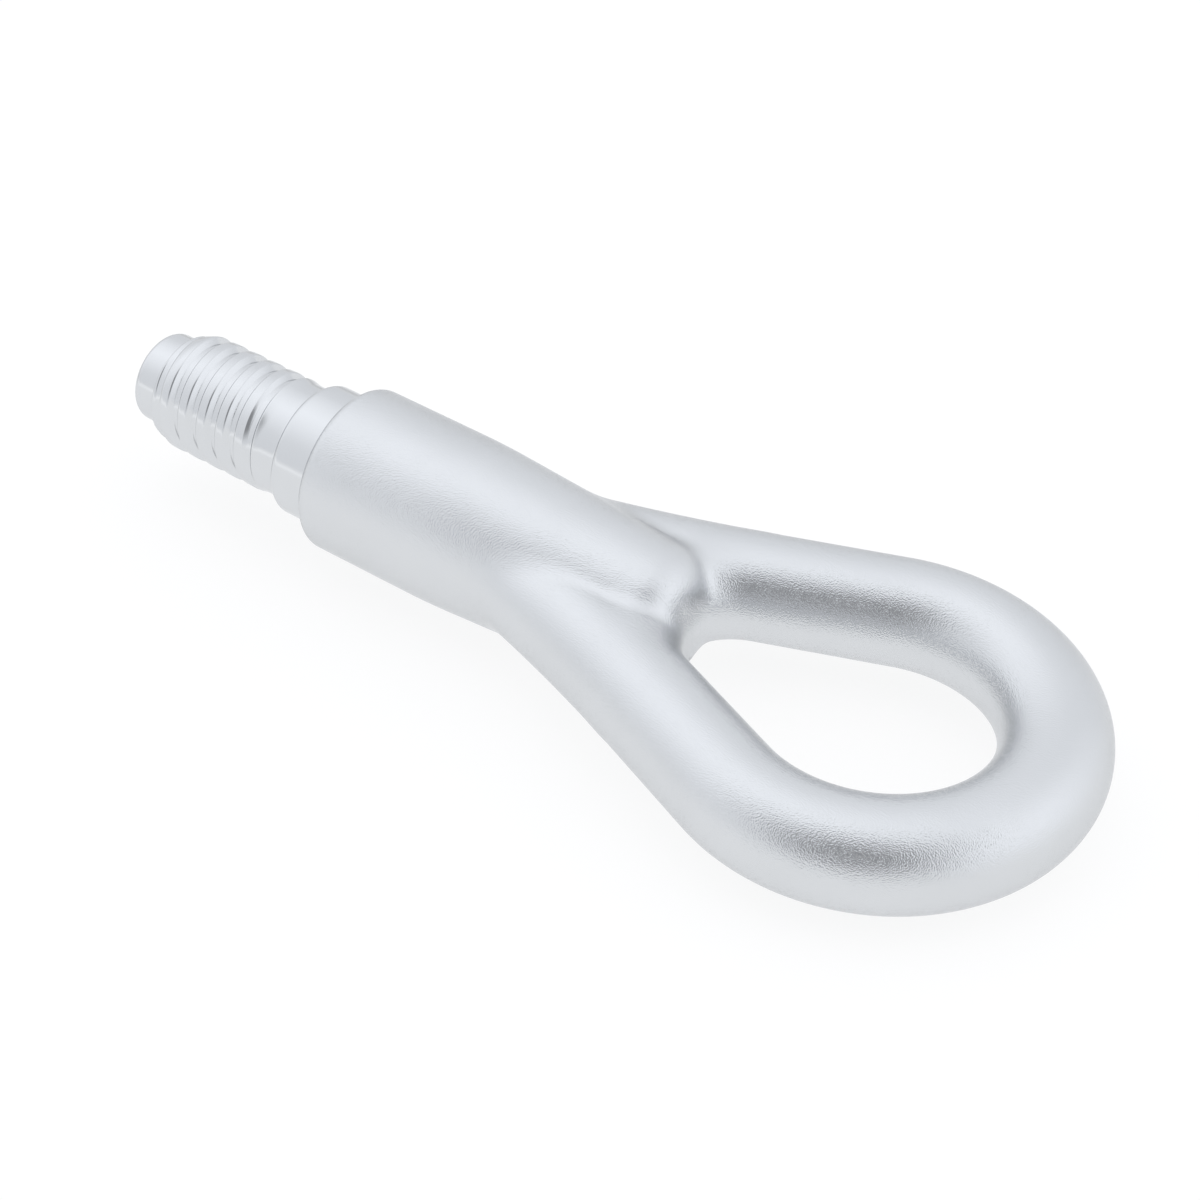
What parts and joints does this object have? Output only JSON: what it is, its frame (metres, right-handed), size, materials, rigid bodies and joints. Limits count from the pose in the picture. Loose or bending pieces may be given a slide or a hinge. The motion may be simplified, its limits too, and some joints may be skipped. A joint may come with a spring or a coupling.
{
  "type": "tow eye",
  "caption": "Screw-in vehicle tow eye: a forged, egg-shaped loop on a round shank with a coarse threaded stud, collar and pilot.",
  "frame": {"origin": "centre of the shank's shoulder face, on the stud's axis, where the eye seats against its socket", "axes": "+X along the stud's axis towards the eye, the eye lies in the XY plane, +Z square to the eye's plane"},
  "size_m": [0.174, 0.0696, 0.0278],
  "materials": {
    "coated_steel": "satin silver zinc coat over a blasted forging"
  },
  "bodies": {
    "root": {"tow_eye": "coated_steel"}
  },
  "joints": []
}
